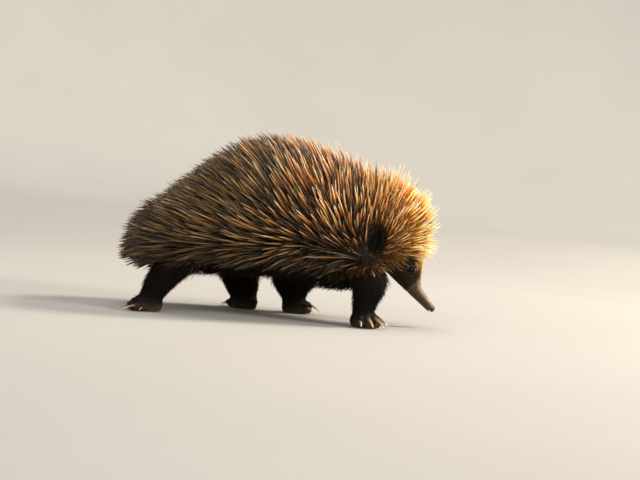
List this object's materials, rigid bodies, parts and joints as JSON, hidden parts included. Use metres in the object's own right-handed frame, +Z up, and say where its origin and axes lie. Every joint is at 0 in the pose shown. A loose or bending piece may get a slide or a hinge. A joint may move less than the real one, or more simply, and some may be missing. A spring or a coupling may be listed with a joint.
{
  "type": "echidna",
  "caption": "Life-size short-beaked echidna, walking with its head lowered, standing by itself on four clawed feet as a still museum-style model.",
  "frame": {"origin": "on the ground under the middle of the animal's bounding box", "axes": "+X the way the animal faces, +Y to its left side, +Z up"},
  "size_m": [0.411, 0.214, 0.237],
  "materials": {
    "spines": "long tapering spines of horn, straw and amber in the middle with dark brown bases and tips, satin, over dark brown hair",
    "fur": "short coarse dark brown hair, matte",
    "skin": "bare dark grey-brown skin of beak, ears and feet, dry and matte",
    "claws": "horn, cream to grey-brown, satin",
    "eyes": "near-black glass eye, polished"
  },
  "bodies": {
    "root": {"trunk": "spines", "tail": "spines", "neck": "spines", "head": "spines", "beak": "skin", "eye_left": "eyes", "eye_right": "eyes", "ear_left": "skin", "ear_right": "skin", "foreleg_right": "fur", "forefoot_right": "skin", "forefoot_right_claw_1": "claws", "forefoot_right_claw_2": "claws", "forefoot_right_claw_3": "claws", "forefoot_right_claw_4": "claws", "forefoot_right_claw_5": "claws", "foreleg_left": "fur", "forefoot_left": "skin", "forefoot_left_claw_1": "claws", "forefoot_left_claw_2": "claws", "forefoot_left_claw_3": "claws", "forefoot_left_claw_4": "claws", "forefoot_left_claw_5": "claws", "hindleg_right": "fur", "hindfoot_right": "skin", "hindfoot_right_claw_1": "claws", "hindfoot_right_claw_2": "claws", "hindfoot_right_claw_3": "claws", "hindfoot_right_claw_4": "claws", "hindfoot_right_claw_5": "claws", "hindleg_left": "fur", "hindfoot_left": "skin", "hindfoot_left_claw_1": "claws", "hindfoot_left_claw_2": "claws", "hindfoot_left_claw_3": "claws", "hindfoot_left_claw_4": "claws", "hindfoot_left_claw_5": "claws"}
  },
  "joints": []
}
